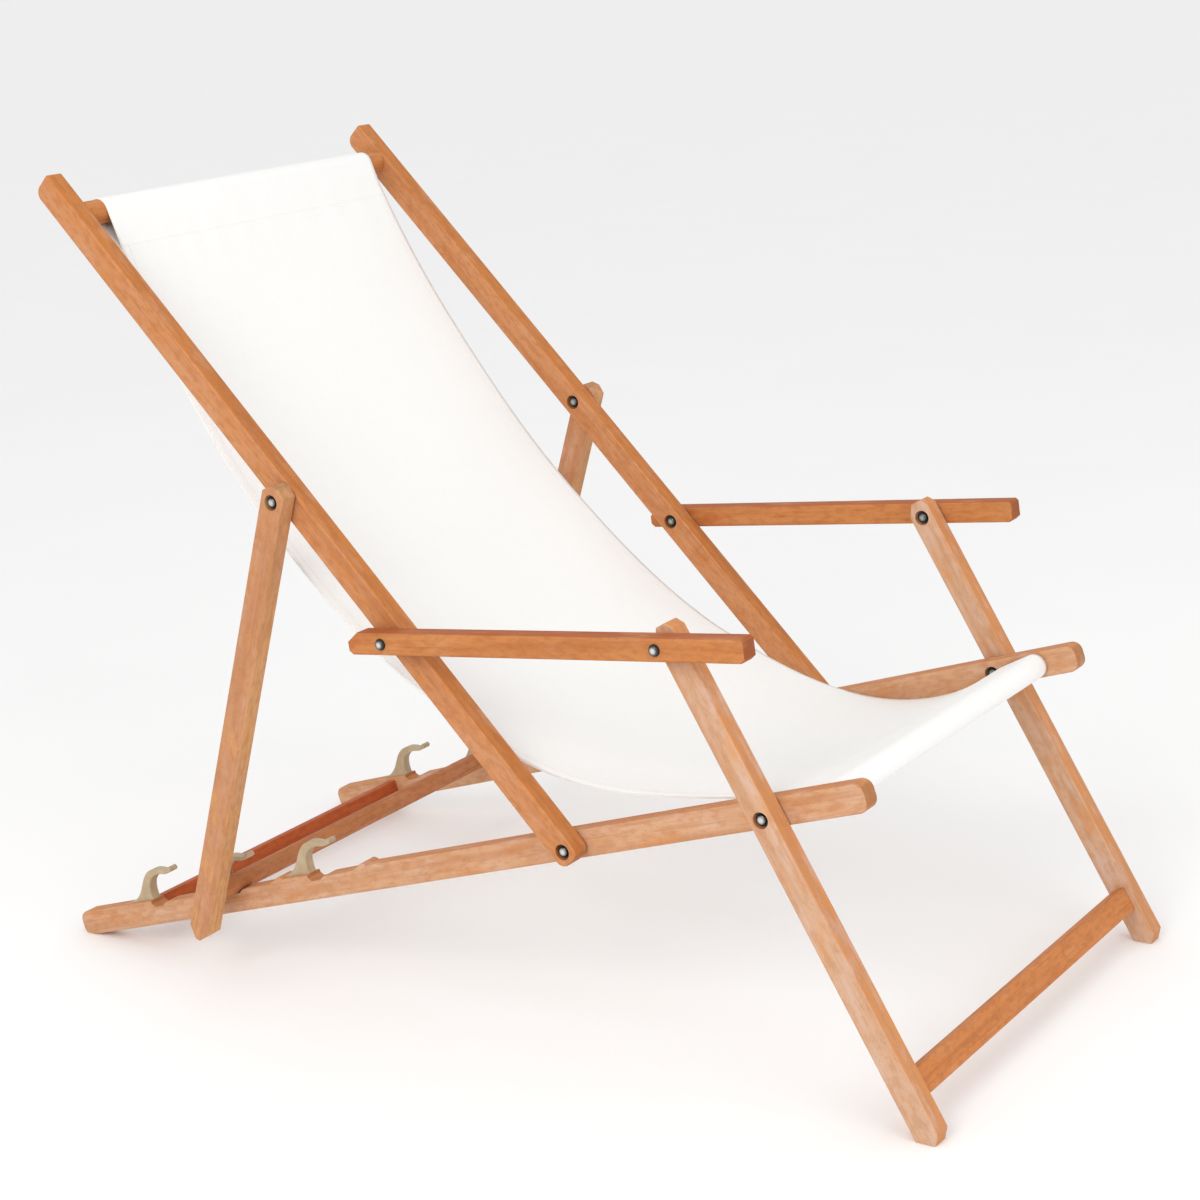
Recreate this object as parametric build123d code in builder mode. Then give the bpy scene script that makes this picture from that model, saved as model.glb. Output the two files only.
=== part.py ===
from build123d import *
import os
from math import atan2, cos, degrees, hypot, radians, sin

# Folding deck chair with armrests. Millimetres.
# X points forward, Y to the sitter's left, Z up, floor at Z = 0.

# Side linkage
seat_angle = 16.5          # seat rails, rising to the front
back_angle = 46.7          # back rails, above the floor
leg_angle = 60.8           # front legs, above the floor
pivot_x = 168.7            # back pivot, ahead of the middle of the chair
pivot_z = 232.0            # back pivot above the floor
seat_to_leg = 249.0        # back pivot to leg pivot along the seat rail
leg_to_arm = 191.0         # leg pivot to armrest pivot along the leg
back_to_arm = 284.0        # back pivot to armrest pivot along the back rail
back_to_prop = 477.0       # back pivot to prop pivot along the back rail

# Laths
overall_width = 600.0      # over the outer faces of the armrests
thickness = 22.0           # every lath, across the chair
layer_gap = 1.8            # room for a washer between two laths
seat_height = 30.0
back_height = 29.5
leg_height = 28.0
arm_height = 24.0
prop_height = 29.0
edge_round = 2.0
seat_rear = 785.0          # back pivot to the rear end
seat_front = 355.0         # back pivot to the front end
back_low = 14.0            # back rail below its pivot
back_top = 930.0           # back pivot to the top end
leg_over = 19.0            # leg above its armrest pivot
leg_foot = 350.0           # leg pivot to the untrimmed foot
arm_rear = 45.0            # armrest behind its rear pivot
arm_front = 100.0          # armrest ahead of its front pivot
prop_top = 17.0
prop_below = 57.0          # prop leg below its crossbar
end_round = 11.0
back_corner = 3.0          # front corner at the top end of a back rail

# Crossbars
top_rod_radius = 13.5
top_rod_inset = 50.0       # from the top end of the back rails
front_bar_radius = 12.5
front_bar_inset = 50.0     # from the front end of the seat rails
prop_bar_radius = 11.0
dowel_radius = 7.5         # turned tenon of every round bar
tenon_depth = 14.0
rear_bar_inset = 103.0     # from the rear end of the seat rails
rear_bar_size = (18.0, 22.0)
stretcher_rise = 57.0      # from the untrimmed foot of the legs
stretcher_size = (28.0, 16.0)
flat_tenon = (16.0, 9.0)

# Notches and hooks on the seat rails
notch_spacing = 132.5
notch_middle = 509.0       # back pivot to the middle notch
notch_depth = 8.0
notch_gap = 0.5            # prop bar to the rear wall of its notch
rest_gap = 0.3             # prop bar above the notch floor
ramp_foot = 4.4            # depth of the long ramp where it leaves the notch
ramp_end = 3.6             # depth of the ramp at its front
lip_length = 13.0          # low bump ahead of the ramp
lip_height = 2.8
lip_gap = 1.0              # bump to the next hook
hook_width = 12.0
hook_tail = 50.0           # notch centre to the rear end of the hook
hook_set = 0.9             # hook behind the rear wall of the notch
hook_over = 14.0           # hook above a bar that lies in the notch
hook_arm = 45.4            # rear wall of the hook to the tip of its arm
hook_root = (9.0, 10.0)    # peg in the rail, along it and deep

# Fasteners
shank_radius = 3.0
run_gap = 0.05             # shank to a turning lath
open_radius = 6.7          # leg hole at the armrest bolt
bore_radius = 8.5          # recess round a head
bore_depth = 5.2
nut_grip = 1.6             # shank inside the dome of a nut
disc_radius = 7.4
disc_height = 1.2
dome_radius = 5.6
dome_height = 3.4
arm_head_radius = 6.2
arm_head_height = 3.6
washer_radius = 8.0
washer_height = 1.6
face_gap = 0.1             # head to a face that turns under it

# Sling
sling_gap = 2.0            # sling edge to the inner face of a seat rail
sling_thick = 1.6
hem_gap = 0.3
sling_depth = 228.5        # deepest sag below the straight line from rod to bar
sling_form = (             # shares of that line and of the depth
    (0.100, 0.311),
    (0.240, 0.635),
    (0.400, 0.884),
    (0.600, 1.0),
    (0.750, 0.917),
    (0.863, 0.687),
    (0.953, 0.328),
)

# Layers, as distances from the middle plane: seat rails, then back rails
# and legs, then armrests and prop legs
layer_3_out = overall_width / 2
layer_3_in = layer_3_out - thickness
layer_2_out = layer_3_in - layer_gap
layer_2_in = layer_2_out - thickness
layer_1_out = layer_2_in - layer_gap
layer_1_in = layer_1_out - thickness
sling_width = 2 * (layer_1_in - sling_gap)
leg_top = leg_to_arm + leg_over
top_rod_at = back_top - top_rod_inset
front_bar_at = seat_front - front_bar_inset
rear_bar_at = seat_rear - rear_bar_inset
stretcher_at = leg_foot - stretcher_rise


def along(start, angle, distance, side=0.0):
    """Point at a distance along a direction, and to its left by side."""
    a = radians(angle)
    return (
        start[0] + distance * cos(a) - side * sin(a),
        start[1] + distance * sin(a) + side * cos(a),
    )


def side_plane(point, angle, offset):
    """Plane of the right side, facing outward, with its x along the angle."""
    a = radians(angle)
    return Plane(
        origin=(point[0], -offset, point[1]),
        x_dir=(cos(a), 0, sin(a)),
        z_dir=(0, -1, 0),
    )


back_up = 180 - back_angle
leg_up = 180 - leg_angle
back_pivot = (pivot_x, pivot_z)
leg_pivot = along(back_pivot, seat_angle, seat_to_leg)
arm_leg_pivot = along(leg_pivot, leg_up, leg_to_arm)
arm_pivot = along(back_pivot, back_up, back_to_arm)
prop_pivot = along(back_pivot, back_up, back_to_prop)
arm_length = hypot(arm_leg_pivot[0] - arm_pivot[0], arm_leg_pivot[1] - arm_pivot[1])
arm_angle = degrees(atan2(arm_leg_pivot[1] - arm_pivot[1], arm_leg_pivot[0] - arm_pivot[0]))
rail_top = seat_height / 2
bar_rise = rail_top - notch_depth + prop_bar_radius + rest_gap
prop_bar = along(back_pivot, seat_angle, -notch_middle, bar_rise)
prop_length = hypot(prop_bar[0] - prop_pivot[0], prop_bar[1] - prop_pivot[1])
prop_angle = degrees(atan2(prop_bar[1] - prop_pivot[1], prop_bar[0] - prop_pivot[0]))
prop_foot = prop_length + prop_below
notches = [notch_middle + i * notch_spacing for i in (-1, 0, 1)]
notch_wall = prop_bar_radius + notch_gap
hook_room = bar_rise - rail_top + prop_bar_radius + hook_over
notch_front = notch_spacing - hook_tail - lip_gap - lip_length
root_at = notch_wall + hook_set + 2.6 + hook_root[0] / 2
top_rod_centre = along(back_pivot, back_up, top_rod_at)
front_bar_centre = along(back_pivot, seat_angle, front_bar_at)


def mirrored(part):
    """The same piece on the left side."""
    with BuildPart() as left:
        mirror(part, about=Plane.XZ)
    return left.part


# Seat rail: notches, hook sockets, bolt holes and mortises
seat_plane = side_plane(back_pivot, seat_angle, layer_1_in)
with BuildPart() as seat_rail:
    with BuildSketch(seat_plane) as outline:
        with Locations(((seat_front - seat_rear) / 2, 0)):
            Rectangle(seat_front + seat_rear, seat_height)
        fillet(outline.vertices(), radius=end_round)
    extrude(amount=thickness)
    fillet(seat_rail.faces().filter_by(Axis.Y).edges(), radius=edge_round)
    for reach in notches:
        # A low lip ahead of each notch, then the notch with its long floor
        with BuildSketch(seat_plane):
            with BuildLine():
                lip_start = notch_front - reach
                lip_end = lip_start + lip_length
                lip_middle = (lip_start + lip_end) / 2
                Spline(
                    (lip_start, rail_top),
                    (lip_middle, rail_top + lip_height),
                    (lip_end, rail_top),
                )
                Polyline(
                    (lip_end, rail_top),
                    (lip_end, rail_top - ramp_end),
                    (lip_start, rail_top - ramp_end),
                    (lip_start, rail_top),
                )
            make_face()
        extrude(amount=thickness)
        with BuildSketch(seat_plane):
            with BuildLine():
                floor = rail_top - notch_depth
                Polyline(
                    (-notch_wall - reach, rail_top + lip_height),
                    (-notch_wall - reach, floor + 4),
                    (-notch_wall + 4 - reach, floor),
                    (7 - reach, floor),
                    (13 - reach, rail_top - ramp_foot),
                    (notch_front - 10 - reach, rail_top - ramp_end),
                    (notch_front - reach, rail_top),
                    (notch_front - reach, rail_top + lip_height),
                    close=True,
                )
            make_face()
        extrude(amount=thickness, mode=Mode.SUBTRACT)
        with BuildSketch(seat_plane.offset((thickness - hook_width) / 2)):
            with Locations((-root_at - reach, rail_top - hook_root[1] / 2)):
                Rectangle(hook_root[0], hook_root[1])
        extrude(amount=hook_width, mode=Mode.SUBTRACT)
    with BuildSketch(seat_plane):
        with Locations((0, 0), (seat_to_leg, 0)):
            Circle(shank_radius)
    extrude(amount=thickness, mode=Mode.SUBTRACT)
    with BuildSketch(seat_plane):
        with Locations((0, 0), (seat_to_leg, 0)):
            Circle(bore_radius)
    extrude(amount=bore_depth, mode=Mode.SUBTRACT)
    with BuildSketch(seat_plane):
        with Locations((front_bar_at, 0)):
            Circle(dowel_radius)
        with Locations((-rear_bar_at, 0)):
            Rectangle(flat_tenon[1], flat_tenon[0])
    extrude(amount=tenon_depth, mode=Mode.SUBTRACT)
    split(bisect_by=Plane.XY, keep=Keep.TOP)

# Back rail
back_plane = side_plane(back_pivot, back_up, layer_2_in)
with BuildPart() as back_rail:
    with BuildSketch(back_plane) as outline:
        with Locations(((back_top - back_low) / 2, 0)):
            Rectangle(back_top + back_low, back_height)
        fillet(outline.vertices().group_by(Axis.X)[0], radius=end_round)
        rear_corner = outline.vertices().group_by(Axis.X)[-1].sort_by(Axis.Y)[-1]
        fillet(rear_corner, radius=end_round)
        front_corner = outline.vertices().group_by(Axis.X)[-1].sort_by(Axis.Y)[0]
        fillet(front_corner, radius=back_corner)
    extrude(amount=thickness)
    fillet(back_rail.faces().filter_by(Axis.Y).edges(), radius=edge_round)
    with BuildSketch(back_plane):
        Circle(shank_radius + run_gap)
        with Locations((back_to_arm, 0), (back_to_prop, 0)):
            Circle(shank_radius)
    extrude(amount=thickness, mode=Mode.SUBTRACT)
    with BuildSketch(back_plane.offset(thickness)):
        Circle(bore_radius)
    extrude(amount=-bore_depth, mode=Mode.SUBTRACT)
    with BuildSketch(back_plane):
        with Locations((back_to_arm, 0), (back_to_prop, 0)):
            Circle(bore_radius)
    extrude(amount=bore_depth, mode=Mode.SUBTRACT)
    with BuildSketch(back_plane):
        with Locations((top_rod_at, 0)):
            Circle(dowel_radius)
    extrude(amount=tenon_depth, mode=Mode.SUBTRACT)

# Front leg, its foot trimmed level with the floor
leg_plane = side_plane(leg_pivot, leg_up, layer_2_in)
leg_half = leg_height / 2
with BuildPart() as leg:
    with BuildSketch(leg_plane):
        with BuildLine():
            Polyline(
                (-leg_foot, -5),
                (-leg_foot + 10, -leg_half),
                (leg_top - 8, -leg_half),
                (leg_top, -leg_half + 6),
                (leg_top, leg_half - 9),
                (leg_top - 13, leg_half),
                (-leg_foot + 10, leg_half),
                (-leg_foot, 5),
                close=True,
            )
        make_face()
    extrude(amount=thickness)
    fillet(leg.faces().filter_by(Axis.Y).edges(), radius=edge_round)
    with BuildSketch(leg_plane):
        Circle(shank_radius + run_gap)
        with Locations((leg_to_arm, 0)):
            Circle(open_radius)
    extrude(amount=thickness, mode=Mode.SUBTRACT)
    with BuildSketch(leg_plane.offset(thickness)):
        Circle(bore_radius)
    extrude(amount=-bore_depth, mode=Mode.SUBTRACT)
    with BuildSketch(leg_plane):
        with Locations((leg_to_arm, 0)):
            Circle(bore_radius)
    extrude(amount=bore_depth, mode=Mode.SUBTRACT)
    with BuildSketch(leg_plane):
        with Locations((-stretcher_at, 0)):
            Rectangle(flat_tenon[0], flat_tenon[1])
    extrude(amount=tenon_depth, mode=Mode.SUBTRACT)
    split(bisect_by=Plane.XY, keep=Keep.TOP)

# Armrest, tapered on top at the rear
arm_plane = side_plane(arm_pivot, arm_angle, layer_3_in)
arm_half = arm_height / 2
arm_end = arm_length + arm_front
with BuildPart() as arm:
    with BuildSketch(arm_plane):
        with BuildLine():
            Polyline(
                (-arm_rear, -arm_half + 4),
                (-arm_rear + 5, -arm_half),
                (arm_end - 5, -arm_half),
                (arm_end, -arm_half + 4),
                (arm_end, arm_half - 3),
                (arm_end - 3, arm_half),
                (-arm_rear + 14, arm_half),
                (-arm_rear, 2),
                close=True,
            )
        make_face()
    extrude(amount=thickness)
    fillet(arm.faces().filter_by(Axis.Y).edges(), radius=edge_round)
    with BuildSketch(arm_plane):
        Circle(shank_radius + run_gap)
        with Locations((arm_length, 0)):
            Circle(shank_radius)
    extrude(amount=thickness, mode=Mode.SUBTRACT)

# Prop leg, its foot cut to a blunt point
prop_plane = side_plane(prop_pivot, prop_angle, layer_3_in)
prop_half = prop_height / 2
with BuildPart() as prop_leg:
    with BuildSketch(prop_plane):
        with BuildLine():
            Polyline(
                (-prop_top, -5),
                (-prop_top + 8, -prop_half),
                (prop_foot - 14, -prop_half),
                (prop_foot, -3),
                (prop_foot, 3),
                (prop_foot - 14, prop_half),
                (-prop_top + 8, prop_half),
                (-prop_top, 5),
                close=True,
            )
        make_face()
    extrude(amount=thickness)
    fillet(prop_leg.faces().filter_by(Axis.Y).edges(), radius=edge_round)
    with BuildSketch(prop_plane):
        Circle(shank_radius + run_gap)
    extrude(amount=thickness, mode=Mode.SUBTRACT)
    with BuildSketch(prop_plane.offset(thickness)):
        Circle(bore_radius)
    extrude(amount=-bore_depth, mode=Mode.SUBTRACT)
    with BuildSketch(prop_plane):
        with Locations((prop_length, 0)):
            Circle(dowel_radius)
    extrude(amount=tenon_depth, mode=Mode.SUBTRACT)


def round_bar(centre, radius, inner):
    """Round crossbar between two inner faces, with a turned tenon at each end."""
    with BuildPart() as bar:
        with BuildSketch(side_plane(centre, 0, -inner)):
            Circle(radius)
        extrude(amount=2 * inner)
        fillet(bar.edges().filter_by(GeomType.CIRCLE), radius=1.0)
        with BuildSketch(side_plane(centre, 0, -inner - tenon_depth)):
            Circle(dowel_radius)
        extrude(amount=2 * (inner + tenon_depth))
    return bar.part


def flat_bar(centre, angle, size, tenon, inner):
    """Flat crossbar between two inner faces, with a square tenon at each end."""
    with BuildPart() as bar:
        with BuildSketch(side_plane(centre, angle, -inner)):
            Rectangle(size[0], size[1])
        extrude(amount=2 * inner)
        fillet(bar.edges().filter_by(Axis.Y), radius=edge_round)
        with BuildSketch(side_plane(centre, angle, -inner - tenon_depth)):
            Rectangle(tenon[0], tenon[1])
        extrude(amount=2 * (inner + tenon_depth))
    return bar.part


top_rod = round_bar(top_rod_centre, top_rod_radius, layer_2_in)
seat_front_bar = round_bar(front_bar_centre, front_bar_radius, layer_1_in)
prop_crossbar = round_bar(prop_bar, prop_bar_radius, layer_3_in)
rear_centre = along(back_pivot, seat_angle, -rear_bar_at)
seat_rear_bar = flat_bar(
    rear_centre, seat_angle, rear_bar_size, (flat_tenon[1], flat_tenon[0]), layer_1_in
)
stretcher_centre = along(leg_pivot, leg_up, -stretcher_at)
leg_stretcher = flat_bar(stretcher_centre, leg_up, stretcher_size, flat_tenon, layer_2_in)


def hook(reach):
    """Hook that curls forward over a notch, with a root in the rail."""
    with BuildPart() as fitting:
        with BuildSketch(seat_plane.offset((thickness - hook_width) / 2)):
            with BuildLine():
                wall = -notch_wall - hook_set - reach
                roof = rail_top + hook_room
                tail = (-hook_tail - reach, rail_top)
                tail_top = (-hook_tail - reach, rail_top + 1.8)
                tip_in = (wall + hook_arm - 4.0, roof + 0.8)
                tip_out = (wall + hook_arm - 3.0, roof + 7.2)
                Line(tail, (wall, rail_top))
                Spline(
                    (wall, rail_top),
                    (wall + 0.4, roof - 16.0),
                    (wall + 4.4, roof - 6.6),
                    (wall + 0.30 * hook_arm, roof - 0.8),
                    (wall + 0.54 * hook_arm, roof + 0.4),
                    (wall + 0.74 * hook_arm, roof - 0.6),
                    tip_in,
                )
                ThreePointArc(tip_in, (wall + hook_arm, roof + 4.0), tip_out)
                Spline(
                    tip_out,
                    (wall + 0.80 * hook_arm, roof + 3.6),
                    (wall + 0.62 * hook_arm, roof + 5.0),
                    (wall + 0.40 * hook_arm, roof + 7.4),
                    (wall + 6.4, roof + 6.4),
                    (wall - 2.6, roof + 1.0),
                    (wall - 10.6, roof - 8.0),
                    (wall - 17.6, roof - 16.6),
                    (wall - 25.6, rail_top + 5.4),
                    tail_top,
                )
                Line(tail_top, tail)
            make_face()
        extrude(amount=hook_width)
        fillet(
            fitting.faces().sort_by(Axis.Y)[0].edges().filter_by(GeomType.BSPLINE), radius=1.0
        )
        with BuildSketch(seat_plane.offset((thickness - hook_width) / 2)):
            with Locations((-root_at - reach, rail_top - hook_root[1] / 2)):
                Rectangle(hook_root[0], hook_root[1])
        extrude(amount=hook_width)
    return fitting.part


def bolt(point, seat, inner, disc, dome):
    """Bolt from its inner end to the seat of its head, disc and dome outside."""
    with BuildPart() as fastener:
        with BuildSketch(side_plane(point, 0, inner)):
            Circle(shank_radius)
        extrude(amount=seat - inner)
        with BuildSketch(side_plane(point, 0, seat)):
            Circle(disc[0])
        extrude(amount=disc[1])
        with BuildSketch(side_plane(point, 0, seat + disc[1])):
            Circle(dome[0])
        extrude(amount=dome[1])
        fillet(fastener.edges().sort_by(Axis.Y)[0], radius=0.8 * dome[1])
    return fastener.part


def nut(point, seat, hole_depth):
    """Domed nut on a disc, on the inward side of its seat."""
    with BuildPart() as cap:
        with BuildSketch(side_plane(point, 0, seat)):
            Circle(disc_radius)
        extrude(amount=-disc_height)
        with BuildSketch(side_plane(point, 0, seat - disc_height)):
            Circle(dome_radius)
        extrude(amount=-dome_height)
        fillet(cap.edges().sort_by(Axis.Y)[-1], radius=0.8 * dome_height)
        if hole_depth > 0:
            with BuildSketch(side_plane(point, 0, seat)):
                Circle(shank_radius)
            extrude(amount=-hole_depth, mode=Mode.SUBTRACT)
    return cap.part


def washer(point, inner):
    """Spacing washer between two laths."""
    with BuildPart() as ring:
        with BuildSketch(side_plane(point, 0, inner)):
            Circle(washer_radius)
            Circle(shank_radius, mode=Mode.SUBTRACT)
        extrude(amount=washer_height)
    return ring.part


recessed = ((disc_radius, disc_height), (dome_radius, dome_height))
plain = ((arm_head_radius, 0.8), (arm_head_radius - 0.6, arm_head_height - 0.8))
grip = disc_height + nut_grip
fastener_parts = {}
for name, point in (("back_pivot", back_pivot), ("leg_pivot", leg_pivot)):
    seat = layer_1_in + bore_depth
    head = layer_2_out - bore_depth + face_gap
    fastener_parts[name + "_bolt"] = bolt(point, head, seat - grip, *recessed)
    fastener_parts[name + "_nut"] = nut(point, seat, grip)
    fastener_parts[name + "_washer"] = washer(point, layer_1_out)
for name, point, head, style in (
    ("arm_pivot", arm_pivot, layer_3_out + face_gap, plain),
    ("prop_pivot", prop_pivot, layer_3_out - bore_depth + face_gap, recessed),
):
    seat = layer_2_in + bore_depth
    fastener_parts[name + "_bolt"] = bolt(point, head, seat - grip, *style)
    fastener_parts[name + "_nut"] = nut(point, seat, grip)
    fastener_parts[name + "_washer"] = washer(point, layer_2_out)
# The armrest bolt ends free inside the wide leg hole, behind the leg's own cap
fastener_parts["arm_leg_bolt"] = bolt(
    arm_leg_pivot, layer_3_out, layer_2_in + bore_depth + 2.0, *plain
)
fastener_parts["arm_leg_cap"] = nut(arm_leg_pivot, layer_2_in + bore_depth, 0)
fastener_parts["arm_leg_washer"] = washer(arm_leg_pivot, layer_3_in - washer_height)

# Sling: one sheet with a hem tunnel round the top rod and the front bar
top_hem = top_rod_radius + sling_thick
front_hem = front_bar_radius + hem_gap + sling_thick
sling_start = along(top_rod_centre, back_up - 90, top_hem - sling_thick / 2)
sling_end = along(front_bar_centre, seat_angle + 90, front_hem - sling_thick / 2)
sling_run = (sling_end[0] - sling_start[0], sling_end[1] - sling_start[1])
sling_span = hypot(*sling_run)
sling_slope = degrees(atan2(sling_run[1], sling_run[0]))
sling_line = [sling_start]
for share, depth in sling_form:
    drop = depth * sling_depth
    sling_line.append(along(sling_start, sling_slope, share * sling_span, -drop))
sling_line.append(sling_end)
sling_plane = Plane(origin=(0, sling_width / 2, 0), x_dir=(1, 0, 0), z_dir=(0, -1, 0))
with BuildPart() as sling:
    with BuildSketch(sling_plane):
        with BuildLine():
            Spline(*sling_line)
        trace(line_width=sling_thick)
        with Locations(top_rod_centre):
            Circle(top_hem)
        with Locations(front_bar_centre):
            Circle(front_hem)
        with Locations(top_rod_centre):
            Circle(top_rod_radius, mode=Mode.SUBTRACT)
        with Locations(front_bar_centre):
            Circle(front_bar_radius + hem_gap, mode=Mode.SUBTRACT)
    extrude(amount=sling_width)

pieces = {
    "seat_rail": seat_rail.part,
    "back_rail": back_rail.part,
    "leg": leg.part,
    "arm": arm.part,
    "prop_leg": prop_leg.part,
}
for i, reach in enumerate(notches):
    pieces[("hook_front", "hook_middle", "hook_rear")[i]] = hook(reach)
pieces.update(fastener_parts)

nodes = {
    "top_rod": top_rod,
    "seat_front_bar": seat_front_bar,
    "seat_rear_bar": seat_rear_bar,
    "leg_stretcher": leg_stretcher,
    "prop_crossbar": prop_crossbar,
    "sling": sling.part,
}
for name, piece in pieces.items():
    nodes[name + "_right"] = piece
    nodes[name + "_left"] = mirrored(piece)

os.makedirs("parts", exist_ok=True)
for name, piece in nodes.items():
    piece.label = name
    export_step(piece, "parts/" + name + ".step")
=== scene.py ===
import bpy
from math import acos, atan2, cos, pi, radians, sin
from mathutils import Matrix, Vector
from mathutils.bvhtree import BVHTree


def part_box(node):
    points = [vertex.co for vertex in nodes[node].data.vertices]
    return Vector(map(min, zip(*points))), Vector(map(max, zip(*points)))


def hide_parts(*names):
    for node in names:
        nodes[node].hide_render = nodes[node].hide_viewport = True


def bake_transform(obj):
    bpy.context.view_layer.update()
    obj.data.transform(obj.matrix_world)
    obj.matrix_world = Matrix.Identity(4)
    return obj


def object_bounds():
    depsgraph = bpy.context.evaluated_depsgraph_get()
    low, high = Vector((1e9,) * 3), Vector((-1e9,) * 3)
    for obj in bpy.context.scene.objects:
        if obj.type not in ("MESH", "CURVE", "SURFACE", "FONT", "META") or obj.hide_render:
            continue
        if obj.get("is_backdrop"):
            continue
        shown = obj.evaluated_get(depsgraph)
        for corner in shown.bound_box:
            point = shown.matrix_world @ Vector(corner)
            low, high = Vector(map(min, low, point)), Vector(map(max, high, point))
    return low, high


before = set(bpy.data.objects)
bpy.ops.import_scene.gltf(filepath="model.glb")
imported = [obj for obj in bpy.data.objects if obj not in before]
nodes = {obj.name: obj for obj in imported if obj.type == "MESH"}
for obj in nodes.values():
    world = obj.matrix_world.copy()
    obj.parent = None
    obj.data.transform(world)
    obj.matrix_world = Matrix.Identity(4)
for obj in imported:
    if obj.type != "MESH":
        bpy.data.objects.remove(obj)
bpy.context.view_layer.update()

# Sizes, in metres and degrees
SEAT_ANGLE = 16.5
BACK_ANGLE = 133.3
LEG_ANGLE = 119.2
ARM_ANGLE = 5.2
PROP_ANGLE = 71.3

CLOTH = 0.0011             # thickness of the canvas
HEM_AIR = 0.0002           # canvas to a rod, and between two layers
HEM_DEPTH = 0.014          # start of the hanging part to where a hem's tail meets it
HEM_TAIL = 0.007           # length of the tail
SIDE_HEM = 0.013           # turned edge along each side
STITCH = 0.0036            # one stitch
STITCH_GAP = 0.0014
THREAD = 0.0005
STITCH_RISE = 0.2          # middle of the thread above the cloth, in threads
SEAM_INSET = 0.0025        # start of a hem's tail to its sewn line
MAIN_STEPS = 120           # rows of the hanging part
ARC_STEPS = 16             # rows round a rod
ACROSS_STEPS = 88          # columns across the sling
SIDE_STEPS = 6             # columns across a side hem
MAIN_START = 0.030         # hanging part, as shares of the line from rod to bar
MAIN_SPAN = 0.940
RAY_RISE = 0.1             # where the rays start, above that line
EASE_ROUNDS = 6            # passes that smooth the hanging part
SIDE_SEAM = 0.8            # sewn line of a side hem, as a share of its width
SAG = 0.004                # middle of the cloth below its edges
RIPPLE = 0.0011            # soft waves between the hems
RIPPLE_ACROSS = 1.7        # waves over the width
RIPPLE_ALONG = 2.1         # waves to the metre
RIPPLE_BEAT = 9            # radians to the metre by which the waves swell and fade
PUCKER = 0.0004            # gathers beside the hems
PUCKER_WAVES = 11
PUCKER_FADE = 0.09         # start of a hem's tail to the end of the gathers
SKEW_TURN = 0.65           # share of the length where the askew hang changes side
SKEW_BACK = 0.0115         # right edge below the middle, behind the sitter
SKEW_SEAT = 0.0175         # right edge above the middle, under the thighs
SKEW_PEAK = 0.148          # largest value of t * t * (1 - t)
WEAVE = 0.0016             # one wave of the weave
THREAD_SIDES = 6

CAMERA_AZIMUTH = 35.371
CAMERA_ELEVATION = 15.153
CAMERA_ROLL = -4.068
CAMERA_PLACE = (1.5795, -2.1655, 1.1332)
CAMERA_LENS = 73.99
SENSOR = 36.0
VIEW_DEPTH = 900.0
FLOOR_SIZE = 800.0
FLOOR_DROP = 0.0005        # studio floor below the feet
SKY_STRENGTH = 0.89
CHAIR_MIDDLE = (0.0, 0.0, 0.42)


# Node helpers
class Shader:
    """A material's node tree, with short calls to add nodes and links."""

    def __init__(self, name):
        self.material = bpy.data.materials.new(name)
        self.material.use_nodes = True
        self.tree = self.material.node_tree
        self.surface = self.tree.nodes["Principled BSDF"]

    def add(self, kind, **inputs):
        """A new node with its inputs filled."""
        node = self.tree.nodes.new(kind)
        self.fill(node, **inputs)
        return node

    def put(self, socket, value):
        """A link from a socket, or a constant."""
        if isinstance(value, bpy.types.NodeSocket):
            self.tree.links.new(value, socket)
        else:
            socket.default_value = value

    def fill(self, node, **inputs):
        """Inputs by name, with an underscore for each space."""
        for key, value in inputs.items():
            self.put(node.inputs[key.replace("_", " ")], value)

    def coat(self, **inputs):
        """Inputs of the surface."""
        self.fill(self.surface, **inputs)

    def place(self, output="Object"):
        """Where a point lies on its object, or another output of that node."""
        return self.tree.nodes.new("ShaderNodeTexCoord").outputs[output]

    def noise(self, vector, scale, detail):
        node = self.add("ShaderNodeTexNoise", Vector=vector, Scale=scale, Detail=detail)
        return node.outputs["Fac"]

    def math(self, operation, first, second=0.0):
        node = self.tree.nodes.new("ShaderNodeMath")
        node.operation = operation
        for socket, value in zip(node.inputs, (first, second)):
            self.put(socket, value)
        return node.outputs["Value"]

    def ramp(self, value, low, high, start=0.0, end=1.0):
        """Value mapped from low..high to start..end, smooth and clamped."""
        node = self.tree.nodes.new("ShaderNodeMapRange")
        node.interpolation_type = "SMOOTHSTEP"
        self.fill(node, Value=value, From_Min=low, From_Max=high, To_Min=start, To_Max=end)
        return node.outputs["Result"]

    def mix(self, factor, first, second):
        node = self.tree.nodes.new("ShaderNodeMix")
        node.data_type = "RGBA"
        self.put(node.inputs[0], factor)
        for socket, value in ((node.inputs[6], first), (node.inputs[7], second)):
            self.put(socket, value if isinstance(value, bpy.types.NodeSocket) else (*value, 1.0))
        return node.outputs[2]

    def stretched(self, turn, size):
        """Object coordinates turned to a lath and divided by a size along each of its axes."""
        node = self.add("ShaderNodeMapping", Vector=self.place(), Rotation=turn, Scale=size)
        node.vector_type = "TEXTURE"
        return node.outputs["Vector"]

    def bump(self, height, strength, distance):
        node = self.add("ShaderNodeBump", Height=height, Strength=strength, Distance=distance)
        self.coat(Normal=node.outputs["Normal"])


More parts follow.
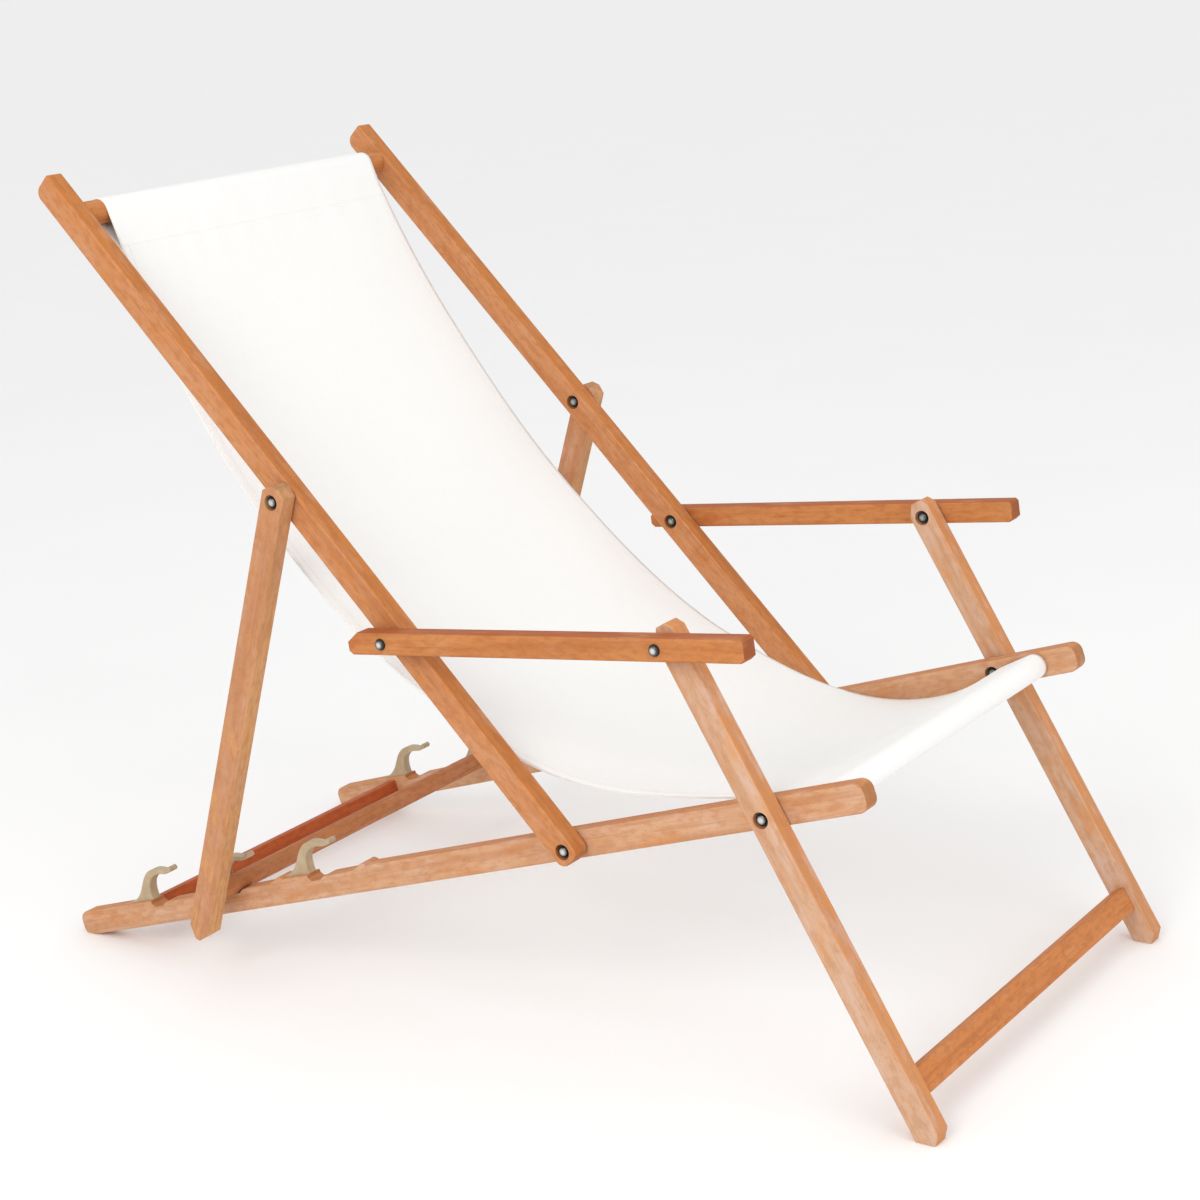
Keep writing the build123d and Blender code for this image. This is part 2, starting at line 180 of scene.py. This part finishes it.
def wood(name, turn, axis, face, shaded_edge_tone, grain, seed):
    """Oiled beech: long figure, soft blotches, fine grain, ray flecks, and darker end grain, with
    painted light and shade that make the side faces lighter than the edges.
    """
    shade = Shader(name)
    offset = Vector((seed * 3.1, seed * 1.7, seed * 2.3))

    def layer(size, detail):
        vector = shade.stretched(turn, size)
        moved = shade.add("ShaderNodeVectorMath")
        shade.put(moved.inputs[0], vector)
        shade.put(moved.inputs[1], offset)
        return shade.noise(moved.outputs["Vector"], 1.0, detail)

    figure = layer((0.30, 0.020, 0.020), 3.0)
    streak = layer((0.10, 0.0026, 0.0026), 4.0)
    fleck = layer((0.0045, 0.0008, 0.0008), 2.0)
    blotch = layer((0.045, 0.014, 0.014), 4.0)
    mottle = layer((0.013, 0.006, 0.006), 3.0)
    normal = shade.place("Normal")
    parts = shade.add("ShaderNodeSeparateXYZ", Vector=normal)
    # Painted light and shade: faces that point sideways take the lighter face tone, all others the
    # darker edge tone
    side = shade.ramp(shade.math("ABSOLUTE", parts.outputs["Y"]), 0.35, 0.9)
    facing = shade.tree.nodes.new("ShaderNodeVectorMath")
    facing.operation = "DOT_PRODUCT"
    shade.put(facing.inputs[0], normal)
    shade.put(facing.inputs[1], axis)
    end = shade.ramp(shade.math("ABSOLUTE", facing.outputs["Value"]), 0.62, 0.93, 0.0, 0.34)
    colour = shade.mix(side, shaded_edge_tone, face)
    rosy = (face[0] * 1.04, face[1] * 1.20, face[2] * 1.55)
    colour = shade.mix(shade.ramp(blotch, 0.50, 0.70, 0.0, 0.60), colour, rosy)
    warm = (shaded_edge_tone[0], shaded_edge_tone[1] * 0.94, shaded_edge_tone[2] * 0.75)
    colour = shade.mix(shade.ramp(blotch, 0.46, 0.30, 0.0, 0.55), colour, warm)
    colour = shade.mix(shade.ramp(figure, 0.44, 0.70, 0.0, 0.50), colour, grain)
    colour = shade.mix(shade.ramp(streak, 0.50, 0.74, 0.0, 0.45), colour, grain)
    colour = shade.mix(shade.ramp(mottle, 0.42, 0.68, 0.0, 0.42), colour, grain)
    dark = tuple(c * 0.40 for c in grain)
    colour = shade.mix(shade.ramp(fleck, 0.62, 0.74, 0.0, 0.40), colour, dark)
    colour = shade.mix(end, colour, tuple(c * 0.42 for c in grain))
    shade.coat(Base_Color=colour)
    shade.coat(Roughness=shade.ramp(streak, 0.3, 0.7, 0.50, 0.66))
    shade.coat(Specular_IOR_Level=0.14)
    height = shade.math("ADD", shade.math("MULTIPLY", streak, 0.7), shade.math("MULTIPLY", fleck, 0.3))
    shade.bump(height, 0.22, 0.0004)
    return shade.material


def canvas(name):
    """White plain-weave canvas on the sling's own width and length."""
    shade = Shader(name)
    where = shade.tree.nodes.new("ShaderNodeUVMap")
    where.uv_map = "cloth"
    parts = shade.add("ShaderNodeSeparateXYZ", Vector=where.outputs["UV"])
    pitch = 2 * pi / WEAVE
    weft = shade.math("SINE", shade.math("MULTIPLY", parts.outputs["X"], pitch))
    warp = shade.math("SINE", shade.math("MULTIPLY", parts.outputs["Y"], pitch))
    weave = shade.ramp(shade.math("MULTIPLY", weft, warp), -0.9, 0.9)
    slub = shade.noise(shade.add("ShaderNodeMapping", Vector=where.outputs["UV"],
                                 Scale=(900.0, 40.0, 1.0)).outputs["Vector"], 1.0, 2.0)
    cloud = shade.noise(shade.place(), 9.0, 4.0)
    colour = shade.mix(weave, (0.84, 0.84, 0.825), (0.93, 0.93, 0.92))
    colour = shade.mix(shade.ramp(slub, 0.5, 0.8, 0.0, 0.35), colour, (0.80, 0.80, 0.78))
    colour = shade.mix(shade.ramp(cloud, 0.45, 0.75, 0.0, 0.3), colour, (0.87, 0.87, 0.855))
    shade.coat(Base_Color=colour)
    shade.coat(Roughness=shade.ramp(weave, 0.0, 1.0, 0.92, 0.8))
    shade.coat(Sheen_Weight=0.15)
    shade.coat(Specular_IOR_Level=0.25)
    shade.bump(shade.math("ADD", weave, shade.math("MULTIPLY", slub, 0.5)), 0.3, 0.0003)
    return shade.material


def thread(name):
    """White sewing thread with a tight twist."""
    shade = Shader(name)
    twist = shade.noise(shade.place(), 2600.0, 2.0)
    shade.coat(Base_Color=shade.mix(twist, (0.70, 0.70, 0.68), (0.88, 0.88, 0.86)))
    shade.coat(Roughness=shade.ramp(twist, 0.3, 0.7, 0.6, 0.8))
    shade.bump(twist, 0.3, 0.0001)
    return shade.material


# Worn steel, in linear colour: duller and brighter patches
BRIGHT_STEEL = ((0.54, 0.54, 0.54), (0.80, 0.80, 0.79))
DARK_STEEL = ((0.30, 0.34, 0.32), (0.56, 0.61, 0.58))
# Painted shade that each dome darkens to at its rim
PAINTED_RIM_SHADE = (0.075, 0.072, 0.070)


def steel(name, centre, dome, tones, highlight_core):
    """Dome painted bright at its core as a painted highlight and darker towards its rim as painted
    shade, on a near-black disc that is blackened steel made darker as painted shade of its recess.

    Both are told apart by the distance from the bolt's axis; highlight_core is the share of the dome's
    radius out to which the painted highlight stays full.
    """
    shade = Shader(name)
    place = shade.place()
    parts = shade.add("ShaderNodeSeparateXYZ", Vector=place)
    across = shade.math("SUBTRACT", parts.outputs["X"], centre[0])
    up = shade.math("SUBTRACT", parts.outputs["Z"], centre[1])
    reach = shade.math("SQRT", shade.math("ADD", shade.math("MULTIPLY", across, across),
                                          shade.math("MULTIPLY", up, up)))
    ring = shade.ramp(reach, dome - 0.0003, dome + 0.0001)
    wear = shade.noise(place, 420.0, 4.0)
    # Painted highlight at the dome's core, fading to painted shade towards its rim
    painted_rim_shade = shade.ramp(reach, dome * highlight_core, dome * 0.90)
    dome_with_painted_highlight = shade.mix(painted_rim_shade, shade.mix(wear, *tones), PAINTED_RIM_SHADE)
    # Near-black disc: blackened steel, made darker as painted shade of the counterbore it sits in
    blackened_disc_and_recess_shade = shade.mix(wear, (0.020, 0.019, 0.018), (0.060, 0.056, 0.052))
    shade.coat(Base_Color=shade.mix(ring, dome_with_painted_highlight, blackened_disc_and_recess_shade))
    shade.coat(Metallic=shade.ramp(ring, 0.0, 1.0, 1.0, 0.6))
    rough = shade.math("ADD", shade.ramp(wear, 0.3, 0.7, 0.2, 0.34), shade.math("MULTIPLY", ring, 0.25))
    shade.coat(Roughness=rough)
    shade.bump(wear, 0.08, 0.0003)
    return shade.material


def plastic(name, base, worn, rough):
    """Moulded plastic with a faint flow mottle and a fine matt grain."""
    shade = Shader(name)
    place = shade.place()
    mottle = shade.noise(place, 60.0, 4.0)
    grain = shade.noise(place, 1500.0, 2.0)
    shade.coat(Base_Color=shade.mix(shade.ramp(mottle, 0.35, 0.7), base, worn))
    shade.coat(Roughness=shade.ramp(grain, 0.3, 0.7, rough - 0.07, rough + 0.07))
    shade.bump(grain, 0.12, 0.0002)
    return shade.material


# Directions of the grain
def lath_turn(angle):
    return (0.0, -radians(angle), 0.0)


def lath_axis(angle):
    return (cos(radians(angle)), 0.0, sin(radians(angle)))


BAR_TURN = (0.0, 0.0, pi / 2)
BAR_AXIS = (0.0, 1.0, 0.0)
# Beech, in linear colour: angle of a lath, its side faces, its edges and its grain; the side faces are
# painted lighter and the edges darker, as painted light and shade
LATHS = {
    "seat_rail": (SEAT_ANGLE, (0.60, 0.335, 0.190), (0.57, 0.235, 0.090), (0.45, 0.190, 0.080)),
    "back_rail": (BACK_ANGLE, (0.55, 0.238, 0.100), (0.54, 0.197, 0.053), (0.38, 0.130, 0.042)),
    "leg": (LEG_ANGLE, (0.60, 0.365, 0.235), (0.63, 0.265, 0.098), (0.47, 0.225, 0.108)),
    "arm": (ARM_ANGLE, (0.53, 0.205, 0.065), (0.40, 0.105, 0.030), (0.36, 0.112, 0.034)),
    "prop_leg": (PROP_ANGLE, (0.53, 0.252, 0.125), (0.63, 0.330, 0.145), (0.41, 0.166, 0.070)),
}
# The same for bars, with one tone all round
BARS = {
    "top_rod": ((0.57, 0.225, 0.075), (0.42, 0.140, 0.042)),
    "seat_front_bar": ((0.57, 0.225, 0.075), (0.42, 0.140, 0.042)),
    "seat_rear_bar": ((0.45, 0.094, 0.024), (0.28, 0.050, 0.016)),
    "leg_stretcher": ((0.58, 0.215, 0.068), (0.40, 0.126, 0.038)),
    "prop_crossbar": ((0.50, 0.195, 0.078), (0.33, 0.110, 0.042)),
}


def cover(name, material):
    """The material as the only one on a node."""
    nodes[name].data.materials.clear()
    nodes[name].data.materials.append(material)


def dress(wanted, material):
    """The material on every node whose name starts with the wanted words."""
    for name in nodes:
        if name.startswith(wanted):
            cover(name, material)


seed = 0
for name, (angle, *tones) in LATHS.items():
    for side in ("_right", "_left"):
        seed += 1
        beech = wood("beech_" + name + side, lath_turn(angle), lath_axis(angle), *tones, seed)
        cover(name + side, beech)
for name, (tone, grain) in BARS.items():
    seed += 1
    cover(name, wood("beech_" + name, BAR_TURN, BAR_AXIS, tone, tone, grain, seed))

# Hooks, washers and steel
dress("hook", plastic("hook_plastic", (0.42, 0.315, 0.185), (0.50, 0.390, 0.250), 0.48))
washers = plastic("washer_nylon", (0.020, 0.020, 0.021), (0.032, 0.032, 0.033), 0.5)
DOMES = {
    "back_pivot": 0.0056,
    "leg_pivot": 0.0056,
    "arm_pivot": 0.0052,
    "prop_pivot": 0.0056,
    "arm_leg": 0.0052,
}
BOLT_HIGHLIGHT_CORE = 0.22           # painted highlight core of a bolt's dome, as a share of its radius
NUT_HIGHLIGHT_CORE = 0.05
for name, dome in DOMES.items():
    low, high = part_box(name + "_bolt_right")
    centre = ((low[0] + high[0]) / 2, (low[2] + high[2]) / 2)
    dress(name + "_bolt", steel("steel_" + name, centre, dome, BRIGHT_STEEL, BOLT_HIGHLIGHT_CORE))
    inner = steel("steel_inner_" + name, centre, dome, DARK_STEEL, NUT_HIGHLIGHT_CORE)
    for end in ("_nut", "_cap"):
        dress(name + end, inner)
    dress(name + "_washer", washers)


# Sling
def middle(name):
    """Centre and radius of a round bar in the side view."""
    low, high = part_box(name)
    return Vector(((low[0] + high[0]) / 2, (low[2] + high[2]) / 2)), (high[2] - low[2]) / 2


def quarter(v):
    """A vector of the side view, turned a quarter to its left."""
    return Vector((-v.y, v.x))


rod, rod_radius = middle("top_rod")
bar, bar_radius = middle("seat_front_bar")
sling_low, sling_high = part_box("sling")
half_width = (sling_high[1] - sling_low[1]) / 2


def hanging_line():
    """Middle of the hanging part in the side view, found by rays cast down on the CAD sling."""
    mesh = nodes["sling"].data
    tree = BVHTree.FromPolygons([v.co for v in mesh.vertices], [p.vertices for p in mesh.polygons])
    chord = bar - rod
    rise = quarter(chord.normalized())
    found = []
    for i in range(MAIN_STEPS + 1):
        share = MAIN_START + MAIN_SPAN * i / MAIN_STEPS
        start = rod + chord * share + rise * RAY_RISE
        hit = tree.ray_cast(Vector((start.x, 0.0, start.y)), Vector((-rise.x, 0.0, -rise.y)))[0]
        found.append(Vector((hit.x, hit.z)))
    eased = found
    for _ in range(EASE_ROUNDS):
        inner = [(a + b * 2 + c) / 4 for a, b, c in zip(eased, eased[1:], eased[2:])]
        eased = [eased[0], *inner, eased[-1]]
    return [p - rise * CLOTH * 0.5 for p in eased]


def hem(centre, radius, line, turn):
    """Loop of cloth from its sewn tail, round a rod, to the start of the line; turn is 1 or -1.

    Also gives the rows of the line that the tail lies under.
    """
    ring = radius + HEM_AIR + CLOTH / 2

    def touch(point, way):
        away = point - centre
        return atan2(away.y, away.x) + way * acos(ring / away.length)

    run = 0.0
    index = 0
    while run < HEM_DEPTH:
        run += (line[index + 1] - line[index]).length
        index += 1
    behind = turn * (CLOTH + HEM_AIR)
    tail_end = index
    while run < HEM_DEPTH + HEM_TAIL:
        run += (line[tail_end + 1] - line[tail_end]).length
        tail_end += 1

    def under(i):
        step = (line[i + 1] - line[i - 1]).normalized()
        return line[i] + quarter(step) * behind

    covered = list(range(tail_end, index - 1, -1))
    tail = [under(i) for i in covered]
    first = touch(tail[-1], turn)
    last = touch(line[0], -turn)
    sweep = (turn * (last - first)) % (2 * pi)
    loop = []
    for i in range(ARC_STEPS + 1):
        angle = first + turn * sweep * i / ARC_STEPS
        loop.append(centre + Vector((cos(angle), sin(angle))) * ring)
    return tail + loop, covered


main = hanging_line()
top_hem, top_covered = hem(rod, rod_radius, main, -1)
front_hem, front_covered = hem(bar, bar_radius, main[::-1], 1)
path = top_hem + main + front_hem[::-1]
lengths = [0.0]
for a, b in zip(path, path[1:]):
    lengths.append(lengths[-1] + (b - a).length)
first_main = len(top_hem)
last_main = len(top_hem) + len(main) - 1
row_above = {row: first_main + i for row, i in enumerate(top_covered)}
row_above.update({len(path) - 1 - row: last_main - i for row, i in enumerate(front_covered)})


def slack(share, along):
    """Small lift of the cloth off its plain curve, by the share across and the distance from the top."""
    from_top = along - lengths[first_main]
    from_front = lengths[last_main] - along
    span = lengths[last_main] - lengths[first_main]
    if from_top <= 0.0 or from_front <= 0.0:
        return 0.0
    middle_part = sin(pi * from_top / span)
    sag = -SAG * middle_part * (1 - (2 * share - 1) ** 2)
    wave = sin(2 * pi * (share * RIPPLE_ACROSS + from_top * RIPPLE_ALONG))
    ripple = RIPPLE * middle_part * wave * sin(RIPPLE_BEAT * from_top)
    pucker = 0.0
    for distance, phase in ((from_top, 0.4), (from_front, 1.9)):
        fade = max(0.0, 1 - abs(distance - HEM_DEPTH) / PUCKER_FADE)
        grow = min(1.0, distance / HEM_DEPTH)
        gather = sin(2 * pi * share * PUCKER_WAVES + phase + 4 * sin(5 * share))
        pucker += PUCKER * grow * fade * fade * gather
    return sag + ripple + pucker - skew(from_top / span) * (1 - 2 * share)


def skew(way):
    """How much lower the right edge hangs than the middle: the cloth is hung a little askew."""
    if way < SKEW_TURN:
        return SKEW_BACK * sin(pi * way / SKEW_TURN)
    rest = (way - SKEW_TURN) / (1 - SKEW_TURN)
    return -SKEW_SEAT * rest * rest * (1 - rest) / SKEW_PEAK


def cloth_point(share, index, lift=0.0):
    """Point of the cloth at a share across, on a row of the path, lifted off its middle layer."""
    before = path[max(index - 1, 0)]
    after = path[min(index + 1, len(path) - 1)]
    normal = quarter((after - before).normalized())
    if index in row_above:
        raised = -slack(share, lengths[row_above[index]])
    else:
        raised = slack(share, lengths[index])
    place = path[index] + normal * (raised + lift)
    return Vector((place.x, (2 * share - 1) * half_width, place.y))


def smooth_piece(name, vertices, faces):
    """A smooth-shaded object in the scene."""
    mesh = bpy.data.meshes.new(name)
    mesh.from_pydata(vertices, [], faces)
    mesh.shade_smooth()
    piece = bpy.data.objects.new(name, mesh)
    bpy.context.scene.collection.objects.link(piece)
    return piece


def grid_mesh(name, columns, rows, point, coordinates):
    """Quad mesh over columns and rows, with the cloth's own coordinates as its UV map."""
    vertices = [point(c, r) for r in range(rows) for c in range(columns)]
    faces = []
    for r in range(rows - 1):
        for c in range(columns - 1):
            corner = r * columns + c
            faces.append((corner, corner + 1, corner + columns + 1, corner + columns))
    piece = smooth_piece(name, vertices, faces)
    layer = piece.data.uv_layers.new(name="cloth")
    for loop in piece.data.loops:
        row, column = divmod(loop.vertex_index, columns)
        layer.data[loop.index].uv = coordinates(column, row)
    return piece


def thicken(piece):
    """Gives a sheet the cloth's thickness, half to each side, and applies it."""
    solid = piece.modifiers.new("thickness", "SOLIDIFY")
    solid.thickness = CLOTH
    solid.offset = 0.0
    evaluated = piece.evaluated_get(bpy.context.evaluated_depsgraph_get())
    mesh = bpy.data.meshes.new_from_object(evaluated)
    piece.modifiers.clear()
    piece.data = mesh


canvas_material = canvas("white_canvas")
thread_material = thread("white_thread")


def share_at(column):
    return column / (ACROSS_STEPS - 1)


sling = grid_mesh(
    "sling_cloth", ACROSS_STEPS, len(path),
    lambda c, r: cloth_point(share_at(c), r),
    lambda c, r: (share_at(c) * 2 * half_width, lengths[r]),
)
thicken(sling)
sling.data.materials.append(canvas_material)

# Turned edges under both sides, from hem to hem
edge_rows = [i for i in range(first_main, last_main + 1)
             if HEM_DEPTH + HEM_TAIL < lengths[i] - lengths[first_main]
             and HEM_DEPTH + HEM_TAIL < lengths[last_main] - lengths[i]]
hem_share = SIDE_HEM / (2 * half_width)


def side_hem(name, side):
    """A strip of doubled cloth along one side, on the underside."""
    def share(column):
        inner = hem_share * column / (SIDE_STEPS - 1)
        return inner if side < 0 else 1 - inner

    strip = grid_mesh(
        name, SIDE_STEPS, len(edge_rows),
        lambda c, r: cloth_point(share(c), edge_rows[r], -CLOTH - HEM_AIR),
        lambda c, r: (share(c) * 2 * half_width, lengths[edge_rows[r]]),
    )
    thicken(strip)
    strip.data.materials.append(canvas_material)
    return strip


hems = [side_hem("sling_side_hem_right", -1), side_hem("sling_side_hem_left", 1)]


def on_path(distance):
    """Row and remainder of a distance along the path."""
    for i in range(len(lengths) - 1):
        if lengths[i + 1] >= distance:
            return i, (distance - lengths[i]) / (lengths[i + 1] - lengths[i])
    return len(lengths) - 2, 1.0


def cloth_at(share, distance, lift):
    """Point of the cloth at a share across and a distance along the path."""
    index, rest = on_path(distance)
    return cloth_point(share, index, lift).lerp(cloth_point(share, index + 1, lift), rest)


def stitch_runs():
    """Start and end of every stitch, along both sides and across both hems."""
    runs = []
    pitch = STITCH + STITCH_GAP
    start = lengths[first_main] + HEM_DEPTH + SEAM_INSET
    stop = lengths[last_main] - HEM_DEPTH - SEAM_INSET
    for share in (hem_share * SIDE_SEAM, 1 - hem_share * SIDE_SEAM):
        for i in range(int((stop - start) / pitch)):
            at = start + i * pitch
            runs.append(((share, at), (share, at + STITCH)))
    for at in (start, stop):
        for i in range(int(2 * half_width / pitch) - 1):
            share = (0.5 + i) * pitch / (2 * half_width)
            runs.append(((share, at), (share + STITCH / (2 * half_width), at)))
    return runs


# Rings of one stitch: share of its length, height and width in threads
STITCH_RINGS = ((0.0, -0.6, 0.45), (0.25, 0.0, 1.0), (0.75, 0.0, 1.0), (1.0, -0.6, 0.45))


def stitching(name, lift, face):
    """All stitches of one face as slim threads that dip into the cloth at both ends."""
    vertices, faces = [], []
    sides = range(THREAD_SIDES)
    for begin, end in stitch_runs():
        first = cloth_at(*begin, lift * face)
        last = cloth_at(*end, lift * face)
        step = (last - first).normalized()
        up = Vector((0.0, 1.0, 0.0)).cross(step)
        if up.length < 0.5:
            up = Vector((0.0, 0.0, 1.0)) - step * step.z
        up.normalize()
        wide = step.cross(up)
        base = len(vertices)
        for share, height, size in STITCH_RINGS:
            centre = first.lerp(last, share) + up * (height * THREAD * face)
            for k in sides:
                angle = 2 * pi * k / THREAD_SIDES
                vertices.append(centre + (up * cos(angle) + wide * sin(angle)) * THREAD * 0.5 * size)
        for ring in range(len(STITCH_RINGS) - 1):
            for k in sides:
                a = base + ring * THREAD_SIDES + k
                b = base + ring * THREAD_SIDES + (k + 1) % THREAD_SIDES
                faces.append((a, b, b + THREAD_SIDES, a + THREAD_SIDES))
        last_ring = base + (len(STITCH_RINGS) - 1) * THREAD_SIDES
        faces.append(tuple(base + k for k in reversed(sides)))
        faces.append(tuple(last_ring + k for k in sides))
    piece = smooth_piece(name, vertices, faces)
    piece.data.materials.append(thread_material)
    return piece


UNDER_FACE = CLOTH * 1.5 + HEM_AIR
seams = stitching("sling_stitching", CLOTH / 2 + THREAD * STITCH_RISE, 1)
under_seams = stitching("sling_stitching_under", UNDER_FACE + THREAD * STITCH_RISE, -1)

# The cloth, which follows the CAD sling's bend between the back and the seat over the back pivot, is
# baked in place, and the CAD sling hidden
for piece in (sling, *hems, seams, under_seams):
    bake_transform(piece)
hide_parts("sling")


# Studio
def floor_material():
    """Near-white floor with a faint mottle."""
    shade = Shader("studio_floor")
    mottle = shade.noise(shade.place(), 3.0, 4.0)
    shade.coat(Base_Color=shade.mix(mottle, (0.95, 0.95, 0.95), (0.97, 0.97, 0.97)))
    shade.coat(Roughness=shade.ramp(mottle, 0.3, 0.7, 0.75, 0.85))
    return shade.material


bpy.ops.mesh.primitive_plane_add(size=FLOOR_SIZE, location=(0.0, 0.0, -FLOOR_DROP))
floor = bpy.context.object
floor.name = "studio_floor"
floor.data.materials.append(floor_material())
floor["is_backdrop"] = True


def soft_light(name, place, size, watts, tint=(1.0, 1.0, 1.0)):
    """Round area light that faces the middle of the chair."""
    light = bpy.data.lights.new(name, "AREA")
    light.shape = "DISK"
    light.size = size
    light.energy = watts
    light.color = tint
    lamp = bpy.data.objects.new(name, light)
    lamp.location = place
    lamp.rotation_euler = (Vector(CHAIR_MIDDLE) - Vector(place)).to_track_quat("-Z", "Y").to_euler()
    bpy.context.scene.collection.objects.link(lamp)


soft_light("key", place=(0.4, -3.4, 2.4), size=2.2, watts=48.0, tint=(1.0, 0.985, 0.96))
soft_light("fill", place=(3.4, -1.2, 2.0), size=2.6, watts=24.0)

world = bpy.data.worlds.new("studio")
world.use_nodes = True
sky = world.node_tree.nodes["Background"]
sky.inputs["Color"].default_value = (1.0, 1.0, 1.0, 1.0)
sky.inputs["Strength"].default_value = SKY_STRENGTH
bpy.context.scene.world = world
bpy.context.scene.view_settings.view_transform = "Standard"

# Camera at the photograph's viewing angle
azimuth = radians(CAMERA_AZIMUTH)
elevation = radians(CAMERA_ELEVATION)
roll = radians(CAMERA_ROLL)
back = Vector((sin(azimuth) * cos(elevation), -cos(azimuth) * cos(elevation), sin(elevation)))
level = (-back).cross(Vector((0.0, 0.0, 1.0))).normalized()
upright = level.cross(-back)
right = level * cos(roll) + upright * sin(roll)
up = upright * cos(roll) - level * sin(roll)
lens = bpy.data.cameras.new("camera")
lens.lens = CAMERA_LENS
lens.sensor_width = SENSOR
lens.clip_end = VIEW_DEPTH
camera = bpy.data.objects.new("camera", lens)
camera.matrix_world = Matrix((
    (right.x, up.x, back.x, CAMERA_PLACE[0]),
    (right.y, up.y, back.y, CAMERA_PLACE[1]),
    (right.z, up.z, back.z, CAMERA_PLACE[2]),
    (0.0, 0.0, 0.0, 1.0),
))
bpy.context.scene.collection.objects.link(camera)
bpy.context.scene.camera = camera

low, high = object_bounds()
